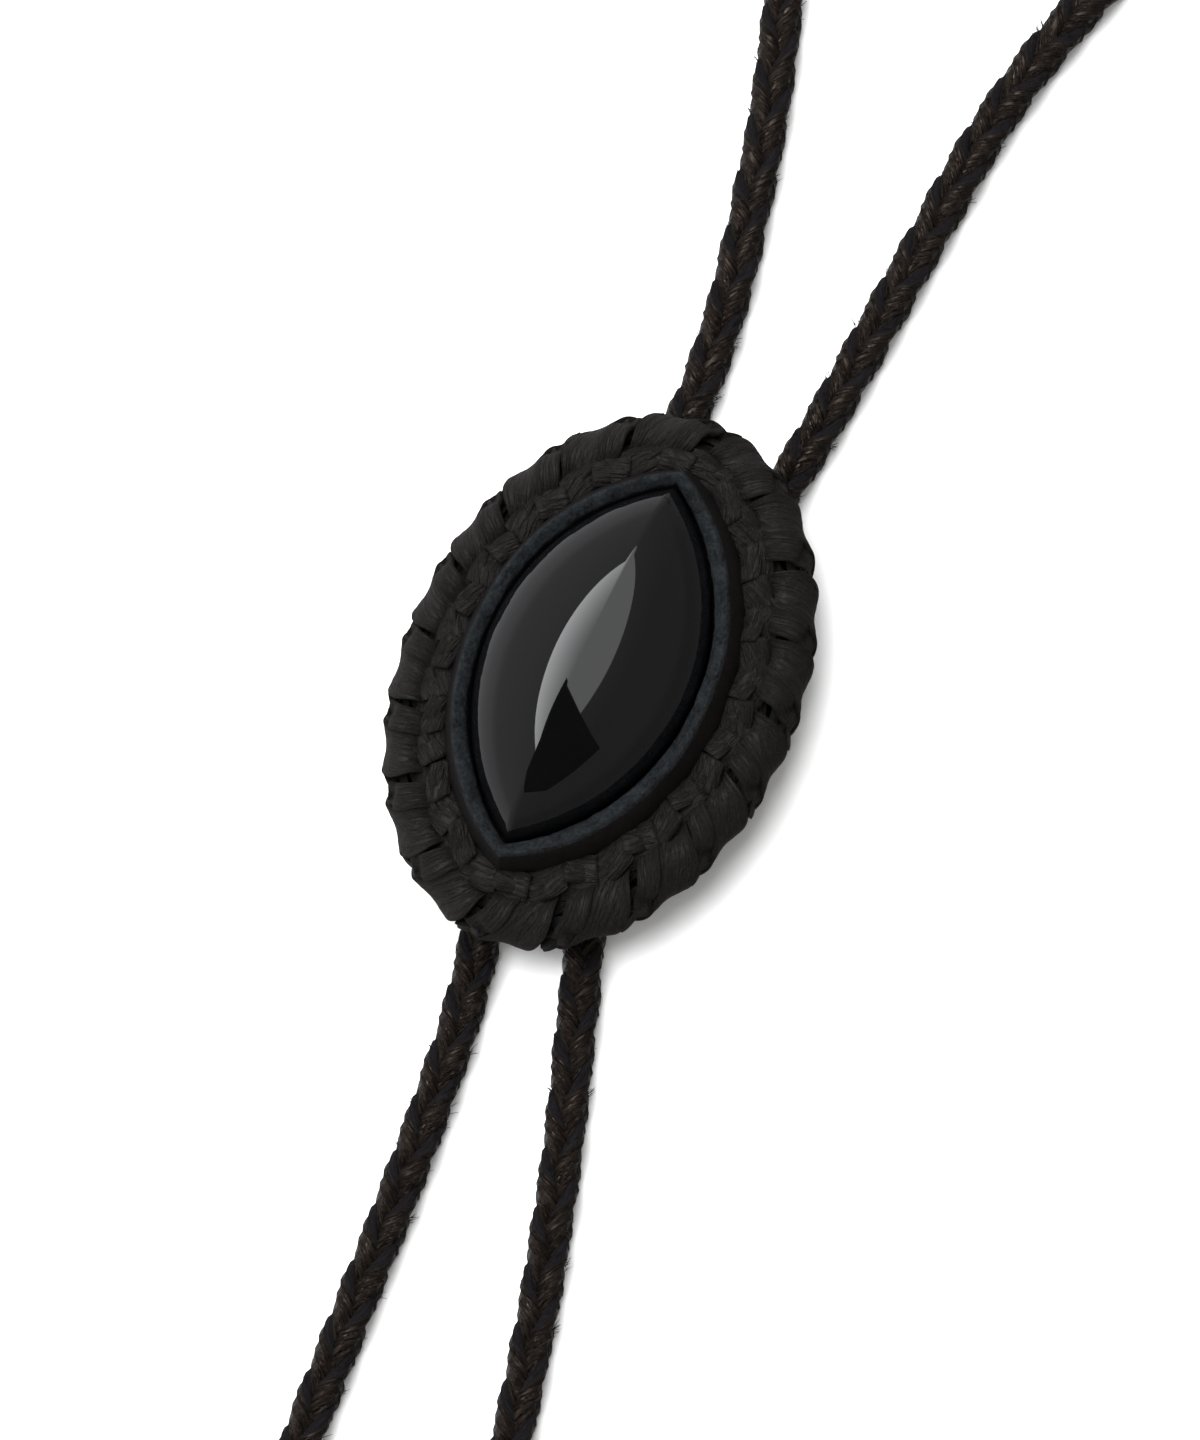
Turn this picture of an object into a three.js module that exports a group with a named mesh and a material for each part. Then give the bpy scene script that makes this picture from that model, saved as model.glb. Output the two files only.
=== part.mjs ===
// Bolo tie: an oval slide of braided black leather round a pointed black cabochon, on a round braided
// leather cord that runs as a whole neck loop and ends in two short tails.
//
// Frame: millimetres, +Z up, floor at z = 0. The origin is on the floor under the middle of the slide,
// and +Y runs along the slide's long axis towards the neck loop.
//
// The slide's rings share one plan grid. A "share" of 0 is the stone's edge, a lens made of two arcs,
// and 1 is the slide's outer ellipse; a "turn" from 0 to 1 goes once round, clockwise from +Y.

import * as THREE from "three";
import { mergeVertices } from "three/addons/utils/BufferGeometryUtils.js";

// ---------------------------------------------------------------- driving dimensions (mm)

const GAP = 0.3; // clearance between neighbouring pieces

const SLIDE_HALF_LENGTH = 28.1;
const SLIDE_HALF_WIDTH = 19.65;

const STONE_HALF_LENGTH = 19.5;
const STONE_HALF_WIDTH = 10.75;
const STONE_CENTRE = { x: -0.7, y: 0.5 }; // set a little off the slide's middle
const STONE_GIRDLE_Z = 14.9; // where the straight side ends and the dome begins
const STONE_RISE = 7.4;
const STONE_FULLNESS = 2.2; // a higher power keeps the dome full nearer its edge
const STONE_ROUNDING = 2; // how fast the pointed edge turns into a round crown

const CORD_DIAMETER = 4.8;
const CORD_SIDES = 10;
const CORD_STEP = 11.5; // length of cord for each straight facet

const KEEPER = { halfLength: 8, halfWidth: 10.2, height: 6.9, corner: 2 };
const KEEPER_CHANNEL = { x: 5.2, z: 3.4, radius: 2.8 };

const LACING_LOBES = 18;
const LACING_STEPS_PER_LOBE = 6;
const LACING_DIP = 0.7; // depth of the dip between two wraps
const RING_STEPS = 72;

const FLOOR_OF_SLIDE = 7.2; // underside of the backing
const BACKING_THICKNESS = 2.2;
const PAD_FLOOR = FLOOR_OF_SLIDE + BACKING_THICKNESS + GAP; // what stands on the backing

const TIP = { radius: 2.7, length: 9, taper: 0.8 };

const LEATHER = new THREE.Color(0.035, 0.031, 0.031);
const CORD_LEATHER = new THREE.Color(0.05, 0.037, 0.031);
const ONYX = new THREE.Color(0.006, 0.006, 0.007);

// ---------------------------------------------------------------- sections of the rings

// "share" is the place across the slide, z the height. Each section closes on itself.

const BEZEL_SECTION = [
  { share: 0.035, z: PAD_FLOOR },
  { share: 0.36, z: PAD_FLOOR },
  { share: 0.37, z: 11.4 },
  { share: 0.32, z: 13.2 },
  { share: 0.25, z: 15.1 },
  { share: 0.215, z: 16.0 },
  { share: 0.16, z: 16.3 },
  { share: 0.06, z: 15.6 },
  { share: 0.035, z: 15.2 },
];

const BRAID_SECTION = [
  { share: 0.4, z: PAD_FLOOR },
  { share: 0.715, z: PAD_FLOOR },
  { share: 0.715, z: 10.9 },
  { share: 0.6, z: 11.2 },
  { share: 0.58, z: 12.1 },
  { share: 0.5, z: 12.8 },
  { share: 0.43, z: 12.9 },
  { share: 0.4, z: 12.4 },
];

// "lobed" is how far a point follows the dips between the wraps, from 0, not at all, to 1.
const LACING_SECTION = [
  { share: 0.3, z: 5.3, lobed: 0 },
  { share: 0.7, z: 5.3, lobed: 0 },
  { share: 0.87, z: 5.9, lobed: 0.6 },
  { share: 0.965, z: 7.4, lobed: 1 },
  { share: 1, z: 9.3, lobed: 1 },
  { share: 0.965, z: 11.2, lobed: 1 },
  { share: 0.87, z: 12.7, lobed: 1 },
  { share: 0.745, z: 13.3, lobed: 1 },
  { share: 0.64, z: 12.7, lobed: 0.4 },
  { share: 0.62, z: 11.6, lobed: 0 },
  { share: 0.75, z: 11.2, lobed: 0 },
  { share: 0.75, z: 6.9, lobed: 0 },
  { share: 0.3, z: 6.9, lobed: 0 },
];

// ---------------------------------------------------------------- routes of the cord

// Points along the cord's centre, chosen by hand. The cord lies on the floor and lifts a little to
// pass through the keeper. The neck loop starts and ends at the keeper's lower face.
const LYING = CORD_DIAMETER / 2 + 0.1; // just clear of the floor
const HELD = KEEPER_CHANNEL.z;
const RISING = LYING + 0.6 * (HELD - LYING);

const NECK_ROUTE = [
  [-5.2, -8, HELD],
  [-5.2, 0, HELD],
  [-5.2, 8, HELD],
  [-5.2, 13, RISING],
  [-5.1, 20, LYING],
  [-5.2, 34, LYING],
  [-9.0, 54, LYING],
  [-15.2, 74, LYING],
  [-25, 97, LYING],
  [-39, 121, LYING],
  [-54, 147, LYING],
  [-65, 175, LYING],
  [-66, 205, LYING],
  [-53, 232, LYING],
  [-29, 248, LYING],
  [0, 252, LYING],
  [28, 243, LYING],
  [48, 221, LYING],
  [55, 193, LYING],
  [50, 163, LYING],
  [38, 136, LYING],
  [24.5, 111, LYING],
  [14.8, 88, LYING],
  [10.6, 71, LYING],
  [9.1, 52, LYING],
  [7.9, 34, LYING],
  [6.4, 20, LYING],
  [5.5, 13, RISING],
  [5.2, 8, HELD],
  [5.2, 0, HELD],
  [5.2, -8, HELD],
];

const LEFT_TAIL_ROUTE = [
  [-5.2, -8.3, HELD],
  [-5.2, -10, HELD],
  [-4.8, -14, RISING],
  [-3.3, -20, LYING],
  [0.2, -32.5, LYING],
  [2.1, -47, LYING],
  [3.5, -64, LYING],
  [5.0, -86, LYING],
];

const RIGHT_TAIL_ROUTE = [
  [5.2, -8.3, HELD],
  [5.2, -10, HELD],
  [5.8, -14, RISING],
  [7.4, -20, LYING],
  [10.7, -29, LYING],
  [16.6, -46, LYING],
  [21.8, -64, LYING],
  [25.0, -78, LYING],
];

// ---------------------------------------------------------------- plan grid of the slide

const outerEdge = new THREE.EllipseCurve(0, 0, SLIDE_HALF_LENGTH, SLIDE_HALF_WIDTH);

// The angle on the ellipse, from +Y, that a share of its length reaches.
function angleOfTurn(turn) {
  return 2 * Math.PI * outerEdge.getUtoTmapping(turn);
}

function ellipsePoint(angle) {
  return { x: SLIDE_HALF_WIDTH * Math.sin(angle), y: SLIDE_HALF_LENGTH * Math.cos(angle) };
}

// A lens of two arcs that meet in points at the ends of the long axis.
function lensPoint(angle) {
  const radius = (STONE_HALF_WIDTH ** 2 + STONE_HALF_LENGTH ** 2) / (2 * STONE_HALF_WIDTH);
  const reach = Math.asin(STONE_HALF_LENGTH / radius);
  const side = angle <= Math.PI ? 1 : -1;
  const along = side > 0 ? angle : 2 * Math.PI - angle;
  const arc = reach * (1 - (2 * along) / Math.PI);
  return {
    x: side * (radius * Math.cos(arc) - (radius - STONE_HALF_WIDTH)),
    y: radius * Math.sin(arc),
  };
}

function mix(a, b, share) {
  return { x: a.x + (b.x - a.x) * share, y: a.y + (b.y - a.y) * share };
}

function slidePoint(share, angle) {
  const lens = lensPoint(angle);
  const inner = { x: STONE_CENTRE.x + lens.x, y: STONE_CENTRE.y + lens.y };
  return mix(inner, ellipsePoint(angle), share);
}

// ---------------------------------------------------------------- making solids

function closed(geometry) {
  geometry.deleteAttribute("normal");
  geometry.deleteAttribute("uv");
  return mergeVertices(geometry, 1e-4);
}

// Turns a profile of Vector2(distance, z) once round, then puts each point where place() says.
// place takes the distance, the angle from +Y, the share of a turn and the height.
function turned(profile, steps, place) {
  const geometry = closed(new THREE.LatheGeometry(profile, steps));
  const position = geometry.attributes.position;
  for (let i = 0; i < position.count; i += 1) {
    const distance = Math.hypot(position.getX(i), position.getZ(i));
    const around = Math.atan2(position.getX(i), position.getZ(i)) / (2 * Math.PI);
    const turn = Math.round((around < 0 ? around + 1 : around) * steps) % steps / steps;
    const point = place(distance, angleOfTurn(turn), turn, position.getY(i));
    position.setXYZ(i, point.x, point.y, point.z);
  }
  return facingOut(geometry);
}

// Turns every triangle over if the solid came out with its faces pointing in.
function facingOut(geometry) {
  const index = geometry.index.array;
  const corner = [0, 1, 2].map(() => new THREE.Vector3());
  let volume = 0;
  for (let i = 0; i < index.length; i += 3) {
    corner.forEach((v, k) => v.fromBufferAttribute(geometry.attributes.position, index[i + k]));
    volume += corner[0].dot(corner[1].cross(corner[2]));
  }
  if (volume < 0) {
    for (let i = 0; i < index.length; i += 3) {
      [index[i + 1], index[i + 2]] = [index[i + 2], index[i + 1]];
    }
  }
  geometry.computeVertexNormals();
  return geometry;
}

function slideRing(section, steps, dipAt = () => 0) {
  const rows = [...section, section[0]].map((row) => new THREE.Vector2(row.share, row.z));
  const lobed = new Map(section.map((row) => [`${row.share.toFixed(3)}/${row.z.toFixed(2)}`, row.lobed ?? 0]));
  return turned(rows, steps, (share, angle, turn, z) => {
    const follows = lobed.get(`${share.toFixed(3)}/${z.toFixed(2)}`) ?? 0;
    const point = slidePoint(share, angle);
    const inward = follows * dipAt(turn) / Math.hypot(point.x, point.y);
    return { x: point.x * (1 - inward), y: point.y * (1 - inward), z };
  });
}

function cordAlong(route) {
  const path = new THREE.CatmullRomCurve3(route.map((p) => new THREE.Vector3(...p)), false, "centripetal");
  path.arcLengthDivisions = 2000;
  const section = new THREE.Shape().absarc(0, 0, CORD_DIAMETER / 2, 0, 2 * Math.PI);
  const steps = Math.round(path.getLength() / CORD_STEP);
  return closed(
    new THREE.ExtrudeGeometry(section, { steps, extrudePath: path, curveSegments: CORD_SIDES / 2 }),
  );
}

function piece(name, geometry, color, roughness) {
  const material = new THREE.MeshStandardMaterial({ color, roughness, metalness: 0 });
  const mesh = new THREE.Mesh(geometry, material);
  mesh.name = name;
  return mesh;
}

// ---------------------------------------------------------------- the pieces

function stone() {
  const levels = 9;
  const profile = [new THREE.Vector2(0, PAD_FLOOR), new THREE.Vector2(1, PAD_FLOOR)];
  for (let i = 0; i <= levels; i += 1) {
    const share = Math.cos((i / levels) * (Math.PI / 2));
    const rise = STONE_RISE * (1 - share ** STONE_FULLNESS) ** 0.6;
    profile.push(new THREE.Vector2(i === levels ? 0 : share, STONE_GIRDLE_Z + rise));
  }
  const roundAt = (angle) => ({
    x: STONE_HALF_WIDTH * Math.sin(angle),
    y: STONE_HALF_LENGTH * Math.cos(angle),
  });
  const geometry = turned(profile, RING_STEPS, (share, angle, turn, z) => {
    const around = mix(roundAt(angle), lensPoint(angle), share ** STONE_ROUNDING);
    return { x: STONE_CENTRE.x + share * around.x, y: STONE_CENTRE.y + share * around.y, z };
  });
  return piece("stone", geometry, ONYX, 0.05);
}

function bezel() {
  return piece("bezel", slideRing(BEZEL_SECTION, RING_STEPS), LEATHER, 0.6);
}

function backing() {
  const rim = 0.715;
  const profile = [
    new THREE.Vector2(0, FLOOR_OF_SLIDE),
    new THREE.Vector2(rim, FLOOR_OF_SLIDE),
    new THREE.Vector2(rim, FLOOR_OF_SLIDE + BACKING_THICKNESS),
    new THREE.Vector2(0, FLOOR_OF_SLIDE + BACKING_THICKNESS),
  ];
  const geometry = turned(profile, RING_STEPS, (share, angle, turn, z) => {
    const edge = slidePoint(rim, angle);
    return { x: (edge.x * share) / rim, y: (edge.y * share) / rim, z };
  });
  return piece("backing", geometry, LEATHER, 0.8);
}

function innerBraid() {
  return piece("inner_braid", slideRing(BRAID_SECTION, RING_STEPS), LEATHER, 0.55);
}

function edgeLacing() {
  const dipAt = (turn) => LACING_DIP * (1 - Math.abs(Math.sin(Math.PI * LACING_LOBES * turn)) ** 0.7);
  const geometry = slideRing(LACING_SECTION, LACING_LOBES * LACING_STEPS_PER_LOBE, dipAt);
  return piece("edge_lacing", geometry, LEATHER, 0.5);
}

function cordKeeper() {
  const { halfLength, halfWidth, height, corner } = KEEPER;
  const profile = new THREE.Shape();
  profile.moveTo(-halfWidth + corner, 0);
  profile.lineTo(halfWidth - corner, 0);
  profile.absarc(halfWidth - corner, corner, corner, -Math.PI / 2, 0);
  profile.lineTo(halfWidth, height);
  profile.lineTo(-halfWidth, height);
  profile.absarc(-halfWidth + corner, corner, corner, Math.PI, 1.5 * Math.PI);
  for (const side of [-1, 1]) {
    const channel = new THREE.Path();
    channel.absarc(side * KEEPER_CHANNEL.x, KEEPER_CHANNEL.z, KEEPER_CHANNEL.radius, 0, 2 * Math.PI, true);
    profile.holes.push(channel);
  }
  const block = new THREE.ExtrudeGeometry(profile, {
    depth: 2 * halfLength,
    bevelEnabled: false,
    curveSegments: 12,
  });
  block.rotateX(Math.PI / 2);
  block.translate(0, halfLength, 0);
  return piece("cord_keeper", closed(block), LEATHER, 0.8);
}

// A plain leather end, face to face with the last point of a tail.
function tailTip(name, route) {
  const end = new THREE.Vector3(...route.at(-1));
  const before = new THREE.Vector3(...route.at(-2));
  const heading = end.clone().sub(before).normalize();
  const { radius, length, taper } = TIP;
  const profile = [
    [0, 0],
    [radius, 0],
    [radius, length * 0.6],
    [radius * taper, length * 0.9],
    [radius * taper * 0.6, length],
    [0, length],
  ].map(([r, along]) => new THREE.Vector2(r, along));
  const geometry = closed(new THREE.LatheGeometry(profile, 16));
  const mesh = piece(name, geometry, CORD_LEATHER, 0.6);
  mesh.quaternion.setFromUnitVectors(new THREE.Vector3(0, 1, 0), heading);
  mesh.position.copy(end).addScaledVector(heading, GAP);
  mesh.position.z = radius;
  return mesh;
}

function cordPiece(name, route) {
  return piece(name, cordAlong(route), CORD_LEATHER, 0.5);
}

const boloTie = new THREE.Group();
boloTie.add(
  stone(),
  bezel(),
  innerBraid(),
  edgeLacing(),
  backing(),
  cordKeeper(),
  cordPiece("neck_loop", NECK_ROUTE),
  cordPiece("tail_left", LEFT_TAIL_ROUTE),
  cordPiece("tail_right", RIGHT_TAIL_ROUTE),
  tailTip("tip_left", LEFT_TAIL_ROUTE),
  tailTip("tip_right", RIGHT_TAIL_ROUTE),
);

export default boloTie;
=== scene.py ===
"""Bolo tie: a pointed black cabochon in a laced leather slide, on a round braided leather cord.

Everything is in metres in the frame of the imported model: +Z up, floor at z = 0, the origin under the
middle of the slide and +Y along its long axis towards the neck loop. Sizes below are written in
millimetres and multiplied by MM.
"""

import bisect
import math
import random

import bmesh
import bpy
from bpy.props import FloatProperty, FloatVectorProperty, IntProperty, PointerProperty
from mathutils import Matrix, Vector, noise


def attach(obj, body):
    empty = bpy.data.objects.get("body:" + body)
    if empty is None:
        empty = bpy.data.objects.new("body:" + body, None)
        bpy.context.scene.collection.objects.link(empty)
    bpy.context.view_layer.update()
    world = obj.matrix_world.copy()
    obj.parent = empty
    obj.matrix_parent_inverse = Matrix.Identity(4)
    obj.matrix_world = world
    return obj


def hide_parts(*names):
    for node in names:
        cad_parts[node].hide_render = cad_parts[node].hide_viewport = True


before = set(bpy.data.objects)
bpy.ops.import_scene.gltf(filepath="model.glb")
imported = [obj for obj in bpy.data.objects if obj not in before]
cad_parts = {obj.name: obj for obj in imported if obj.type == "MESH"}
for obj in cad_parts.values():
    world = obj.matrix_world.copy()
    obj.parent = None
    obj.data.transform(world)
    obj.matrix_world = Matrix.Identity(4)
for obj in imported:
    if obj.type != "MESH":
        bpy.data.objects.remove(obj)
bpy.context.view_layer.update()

bl_info = {
    "name": "Bolo Tie",
    "version": (1, 0, 0),
    "blender": (4, 5, 0),
    "location": "View3D > Sidebar > Bolo Tie",
    "description": "Makes the finish of a bolo tie: braided cord, laced slide and polished stone",
    "category": "Object",
}

MM = 0.001
SEED = 20


# ---------------------------------------------------------------- settings


def length(name, description, millimetres):
    return FloatProperty(
        name=name,
        description=description,
        default=millimetres * MM,
        min=0.0,
        unit="LENGTH",
        subtype="DISTANCE",
    )


def turned_by(name, description, degrees):
    return FloatProperty(
        name=name, description=description, default=math.radians(degrees), subtype="ANGLE"
    )


def amount(name, description, value):
    return FloatProperty(name=name, description=description, default=value, min=0.0)


def colour(name, description, value):
    return FloatVectorProperty(
        name=name, description=description, default=value, size=3, min=0.0, max=1.0, subtype="COLOR"
    )


class StageSettings(bpy.types.PropertyGroup):
    """Lights and camera."""

    camera_distance: length("Camera distance", "From the slide to the camera", 800)
    camera_tilt: turned_by("Camera tilt", "Away from straight down", 12.0)
    camera_turn: turned_by("Camera turn", "How far the slide leans in the camera's view", 25.0)
    softbox_light: amount("Softbox", "Brightness of the softbox", 1.0)
    room_light: amount("Room", "Brightness of the room", 0.42)
    sun_light: amount("Sun", "Strength of the soft light from above", 4.4)
    sun_width: turned_by("Sun width", "How wide that light is in the sky", 36.0)
    sun_lean: turned_by("Sun lean", "How far it stands from straight above", 13.0)


class CordSettings(bpy.types.PropertyGroup):
    """The round braid of four laces."""

    pitch: length("Pitch", "Length in which a lace goes once round", 11.8)
    lace_width: length("Lace width", "Width of one lace", 5.0)
    lace_thickness: length("Lace thickness", "Thickness of one lace", 1.0)
    middle_radius: length("Middle radius", "Mean radius of the laces' middle", 1.3)
    weave_depth: length("Weave depth", "How far a lace rises over and dips under", 0.6)
    face: colour("Face", "Colour of the grain side", (0.0040, 0.0028, 0.0023))
    cut_edge: colour("Cut edge", "Colour of the cut edges", (0.0032, 0.0037, 0.0056))


class SlideSettings(bpy.types.PropertyGroup):
    """The laced leather slide."""

    wraps: IntProperty(name="Wraps", description="Wraps of lace round the rim", default=18, min=6)
    face: colour("Face", "Colour of the grain side", (0.0036, 0.0028, 0.0025))
    cut_edge: colour("Cut edge", "Colour of the cut edges", (0.0026, 0.0027, 0.0034))
    raw_edge: colour("Raw edge", "Colour of the suede edge round the stone", (0.0105, 0.0125, 0.0145))


class StoneSettings(bpy.types.PropertyGroup):
    """The polished cabochon."""

    colour: colour("Colour", "Body colour", (0.0022, 0.0022, 0.0024))
    fullness: FloatProperty(name="Fullness", description="How full the dome is near its edge", default=2.2)


# ---------------------------------------------------------------- mesh helpers


def mix(a, b, share):
    return a + (b - a) * share


def smooth(low, high, value):
    """0 below low, 1 above high, and an even curve between."""
    t = min(max((value - low) / (high - low), 0.0), 1.0)
    return t * t * (3.0 - 2.0 * t)


def patch(mesh, columns, rows, place, uv_size=(1.0, 1.0), uv_start=(0.0, 0.0)):
    """Adds a grid whose corners go to place(u, v), with u and v from 0 to 1 kept as its UVs."""
    uv = mesh.loops.layers.uv.verify()
    corners = bmesh.ops.create_grid(mesh, x_segments=columns, y_segments=rows, size=0.5)["verts"]
    share = {v: (v.co.x + 0.5, v.co.y + 0.5) for v in corners}
    for face in {f for v in corners for f in v.link_faces}:
        face.smooth = True
        for loop in face.loops:
            u, v = share[loop.vert]
            loop[uv].uv = (uv_start[0] + uv_size[0] * u, uv_start[1] + uv_size[1] * v)
    for corner, (u, v) in share.items():
        corner.co = place(u, v)
    return corners


def tube(mesh, steps, around, place, uv_size=(1.0, 1.0), uv_start=(0.0, 0.0)):
    """A closed tube: u runs along it and v once round it. Its ends are filled."""
    corners = patch(mesh, steps, around, place, uv_size, uv_start)
    bmesh.ops.remove_doubles(mesh, verts=corners, dist=1e-7)
    rim = {e for v in corners if v.is_valid for e in v.link_edges if e.is_boundary}
    bmesh.ops.holes_fill(mesh, edges=list(rim), sides=0)


def ring(mesh, steps, around, place, uv_size=(1.0, 1.0)):
    """A closed ring: u goes once round the slide and v once round its section."""
    corners = patch(mesh, steps, around, place, uv_size)
    bmesh.ops.remove_doubles(mesh, verts=corners, dist=1e-7)


def piece(name, mesh, materials, slot, *nodes):
    """Makes an object of the finished bmesh, which rides on the one body and stands for its nodes."""
    bmesh.ops.recalc_face_normals(mesh, faces=mesh.faces)
    data = bpy.data.meshes.new(name)
    mesh.to_mesh(data)
    mesh.free()
    made = bpy.data.objects.new(name, data)
    bpy.context.collection.objects.link(made)
    for material in materials:
        data.materials.append(material)
    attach(made, "root")
    if nodes:
        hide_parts(*nodes)
    return made


def lace_piece(name, mesh, leather, slot, *nodes):
    """A piece made of laces, whose UVs the leather looks up by name."""
    made = piece(name, mesh, [leather], slot, *nodes)
    made.data.uv_layers[0].name = "lace"
    return made


def hair(mesh, root, way, long, thick):
    """One short straight fibre."""
    turned = Vector((0, 0, 1)).rotation_difference(way).to_matrix().to_4x4()
    place = Matrix.Translation(root + way * (long / 2)) @ turned
    bmesh.ops.create_cone(
        mesh, cap_ends=True, segments=3, radius1=thick, radius2=thick * 0.25, depth=long, matrix=place
    )


# ---------------------------------------------------------------- node helpers


def node(tree, kind, inputs=None, **settings):
    """Adds a node, with a value or another node's output on each input that is named."""
    made = tree.nodes.new(kind)
    for key, value in settings.items():
        setattr(made, key, value)
    for socket, value in (inputs or {}).items():
        if isinstance(value, bpy.types.NodeSocket):
            tree.links.new(value, made.inputs[socket])
        else:
            made.inputs[socket].default_value = value
    return made


def new_material(name):
    made = bpy.data.materials.new(name)
    made.use_nodes = True
    made.node_tree.nodes.clear()
    return made, made.node_tree


def surface(tree, **inputs):
    """The finish and its output."""
    named = {key.replace("_", " "): value for key, value in inputs.items()}
    shader = node(tree, "ShaderNodeBsdfPrincipled", named)
    node(tree, "ShaderNodeOutputMaterial", {"Surface": shader.outputs["BSDF"]})


def rgba(value, factor=1.0):
    return tuple(min(c * factor, 1.0) for c in value) + (1.0,)


def colour_mix(tree, share, first, second):
    mixed = node(tree, "ShaderNodeMix", {0: share, 6: first, 7: second}, data_type="RGBA")
    return mixed.outputs[2]


def maths(tree, operation, first, second):
    return node(tree, "ShaderNodeMath", {0: first, 1: second}, operation=operation).outputs[0]


def to_range(tree, value, low, high, new_low=0.0, new_high=1.0):
    return node(
        tree,
        "ShaderNodeMapRange",
        {"Value": value, "From Min": low, "From Max": high, "To Min": new_low, "To Max": new_high},
    ).outputs["Result"]


def grain(tree, vector, scale, detail=4.0, roughness=0.6):
    return node(
        tree,
        "ShaderNodeTexNoise",
        {"Vector": vector, "Scale": scale, "Detail": detail, "Roughness": roughness},
    ).outputs["Fac"]


def stretched(tree, vector, scale):
    return node(tree, "ShaderNodeMapping", {"Vector": vector, "Scale": scale}).outputs["Vector"]


def bumped(tree, height, strength, distance, normal=None):
    inputs = {"Height": height, "Strength": strength, "Distance": distance}
    if normal is not None:
        inputs["Normal"] = normal
    return node(tree, "ShaderNodeBump", inputs).outputs["Normal"]


# ---------------------------------------------------------------- finishes

# The lace's UVs: U is the length along it in millimetres, and V goes once round its section. Each row
# is a place on V and how much of a cut edge it has: the left edge, the grain, the right edge, the
# flesh side.
EDGE_MARKS = (
    (0.0, 1.0),
    (0.165, 1.0),
    (0.215, 0.0),
    (0.452, 0.0),
    (0.502, 1.0),
    (0.66, 1.0),
    (0.71, 0.7),
    (1.0, 0.7),
)


def cut_edge_mask(tree, v):
    ramp = tree.nodes.new("ShaderNodeValToRGB")
    tree.links.new(v, ramp.inputs["Fac"])
    stops = ramp.color_ramp.elements
    for stop, (position, shade) in zip(stops, (EDGE_MARKS[0], EDGE_MARKS[-1])):
        stop.position, stop.color = position, (shade, shade, shade, 1)
    for position, shade in EDGE_MARKS[1:-1]:
        stops.new(position).color = (shade, shade, shade, 1)
    return ramp.outputs["Color"]


def lace_leather(name, face, cut_edge, tint, roughness, specular, striation, wrinkle):
    """Grain leather with fine lines along the lace and darker fuzzy cut edges. The grain's colour follows
    its striation and wrinkle bumps, as a painted highlight on their ridges and painted shade in their
    grooves.
    """
    made, tree = new_material(name)
    place = node(tree, "ShaderNodeTexCoord").outputs["Object"]
    lace = node(tree, "ShaderNodeUVMap", uv_map="lace").outputs["UV"]
    v = node(tree, "ShaderNodeSeparateXYZ", {"Vector": lace}).outputs["Y"]
    edge = cut_edge_mask(tree, v)
    lines = grain(tree, stretched(tree, lace, (0.34, 27.0, 1.0)), 1.0, 3.0, 0.62)
    lines = to_range(tree, lines, 0.40, 0.58)
    broad = grain(tree, place, 260.0, 3.0, 0.55)
    pores = grain(tree, place, 5200.0, 3.0, 0.6)
    cloud = grain(tree, place, 900.0, 4.0, 0.6)
    # Painted highlight and shade: the grain's colour follows the same striation lines and wrinkle clouds as
    # the bump, lighter on their ridges and darker in their grooves.
    shade = maths(tree, "ADD", maths(tree, "MULTIPLY", lines, 0.55), maths(tree, "MULTIPLY", cloud, 0.45))
    shade = to_range(tree, shade, 0.30, 0.80)
    leather = colour_mix(tree, shade, rgba(face, 0.42), rgba(face, 1.55))
    leather = colour_mix(tree, to_range(tree, broad, 0.42, 0.62), leather, rgba(face, 0.8))
    fuzz = colour_mix(tree, to_range(tree, pores, 0.35, 0.65), rgba(cut_edge, 0.5), rgba(cut_edge, 1.8))
    base = colour_mix(tree, edge, leather, fuzz)
    rough = maths(tree, "ADD", roughness - 0.1, maths(tree, "MULTIPLY", shade, 0.2))
    rough = maths(tree, "MAXIMUM", rough, maths(tree, "MULTIPLY", edge, 0.92))
    normal = bumped(tree, lines, striation, 0.00024)
    normal = bumped(tree, cloud, wrinkle, 0.00026, normal)
    normal = bumped(tree, pores, 0.12, 0.00004, normal)
    surface(
        tree,
        Base_Color=base,
        Roughness=rough,
        IOR=1.5,
        Specular_IOR_Level=specular,
        Specular_Tint=tint,
        Normal=normal,
    )
    return made


def cord_leather(settings):
    return lace_leather(
        "cord_leather",
        settings.face,
        settings.cut_edge,
        tint=(1.0, 0.80, 0.66, 1.0),
        roughness=0.24,
        specular=0.46,
        striation=1.0,
        wrinkle=0.35,
    )


def slide_lace_leather(settings):
    return lace_leather(
        "slide_lace_leather",
        settings.face,
        settings.cut_edge,
        tint=(1.0, 0.88, 0.79, 1.0),
        roughness=0.23,
        specular=0.54,
        striation=1.0,
        wrinkle=0.55,
    )


def plain_leather(name, settings, roughness=0.58):
    """Smooth leather with fine creases and pores. Its colour has a random cloudy tone, with painted shade
    darker in the creases.
    """
    made, tree = new_material(name)
    place = node(tree, "ShaderNodeTexCoord").outputs["Object"]
    cloud = grain(tree, place, 420.0, 4.0, 0.6)
    pores = grain(tree, place, 3600.0, 4.0, 0.6)
    creases = grain(tree, place, 1300.0, 5.0, 0.7)
    # Colour: a random cloudy tone, plus painted shade from the crease noise that also drives the bump,
    # darker in the creases.
    shade = to_range(tree, maths(tree, "ADD", cloud, maths(tree, "MULTIPLY", creases, 0.4)), 0.45, 0.95)
    base = colour_mix(tree, shade, rgba(settings.face, 0.6), rgba(settings.face, 1.35))
    rough = to_range(tree, creases, 0.3, 0.7, roughness - 0.08, roughness + 0.12)
    normal = bumped(tree, creases, 0.3, 0.0002)
    normal = bumped(tree, pores, 0.3, 0.00006, normal)
    surface(tree, Base_Color=base, Roughness=rough, IOR=1.5, Specular_IOR_Level=0.34, Normal=normal)
    return made


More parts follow.
